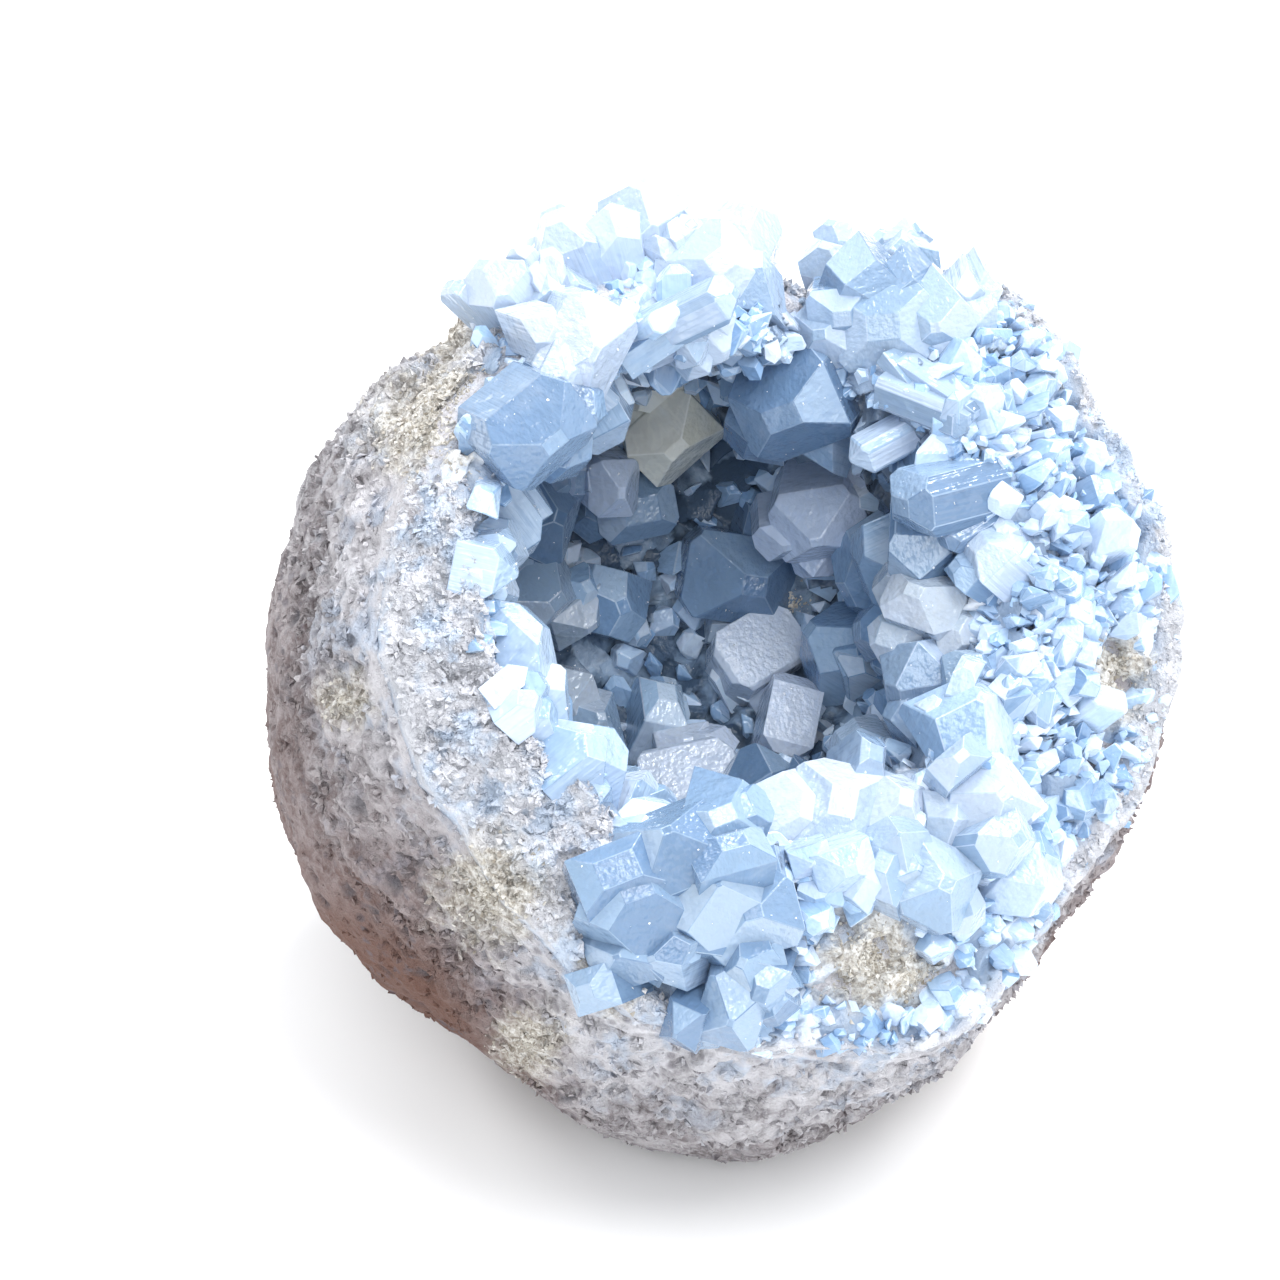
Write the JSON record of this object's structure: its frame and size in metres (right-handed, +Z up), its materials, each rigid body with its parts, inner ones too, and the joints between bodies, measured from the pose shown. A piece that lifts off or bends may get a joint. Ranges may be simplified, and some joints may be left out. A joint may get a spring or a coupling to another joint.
{
  "type": "celestite geode",
  "caption": "Rounded grey-white stone nodule broken open at the front, its deep hollow and broad broken rim lined with pale blue celestite crystals; rests on a small flat spot.",
  "frame": {"origin": "on the flat spot that the stone rests on, straight below the stone's middle", "axes": "+Z up from the flat spot, +X to the right as seen from the open side, -Y towards that side; the hollow opens towards -Y and +Z"},
  "size_m": [0.1082, 0.1141, 0.107],
  "materials": {
    "rind_stone": "rough, granular and pitted grey-white rind with lilac and sandy tan patches",
    "celestite": "clear to cloudy pale blue crystal with glassy flat faces, darker where it is deep"
  },
  "bodies": {
    "root": {"rind": "rind_stone", "crystal_crust": "celestite"}
  },
  "joints": []
}
